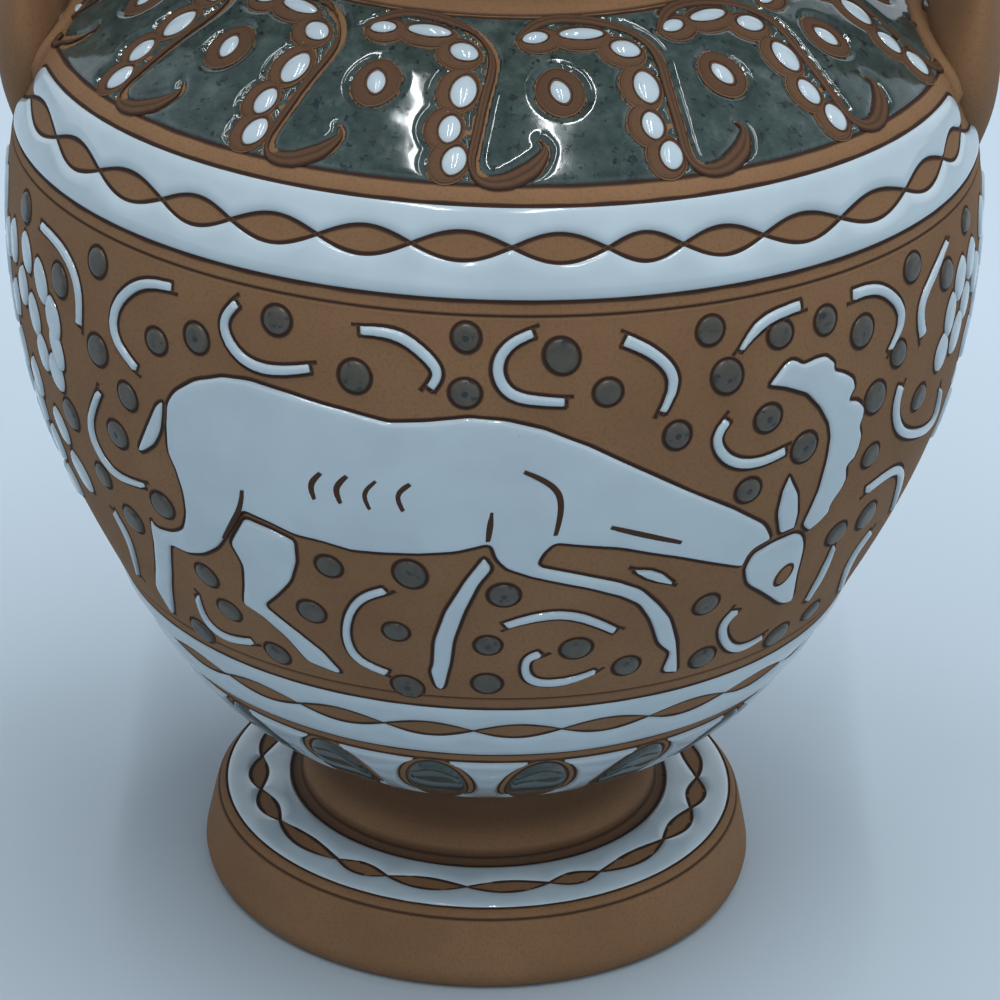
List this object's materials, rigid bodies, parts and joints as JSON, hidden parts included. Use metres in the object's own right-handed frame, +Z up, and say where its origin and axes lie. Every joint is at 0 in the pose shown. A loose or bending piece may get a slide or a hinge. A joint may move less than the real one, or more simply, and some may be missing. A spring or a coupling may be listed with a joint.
{
  "type": "two-handled footed flask",
  "caption": "Footed clay flask with a round belly, flaring neck, strap handles from shoulder to neck, and raised white and green glaze bands, calyx and grazing goats.",
  "frame": {"origin": "centre of the foot's underside, on the surface the flask stands on", "axes": "+Z up along the turning axis, the two handles along X, the front figure facing -Y"},
  "size_m": [0.1346, 0.1336, 0.197],
  "materials": {
    "red_clay": "matt, unglazed, faintly sandy",
    "white_glaze": "glossy, thick, rounded edges",
    "green_glaze": "glossy grey-green with dark specks"
  },
  "bodies": {
    "root": {"foot": "red_clay", "body": "red_clay", "neck": "red_clay", "handle_left": "red_clay", "handle_right": "red_clay", "foot_band_inner_strip": "white_glaze", "foot_band_outer_strip": "white_glaze", "lower_band_lower_strip": "white_glaze", "lower_band_upper_strip": "white_glaze", "upper_band_lower_strip": "white_glaze", "upper_band_upper_strip": "white_glaze", "calyx_wedges": "white_glaze", "calyx_tongues": "green_glaze", "shoulder_field": "green_glaze", "goat_front": "white_glaze", "goat_rear": "white_glaze", "petals_left": "white_glaze", "petals_right": "white_glaze"}
  },
  "joints": []
}
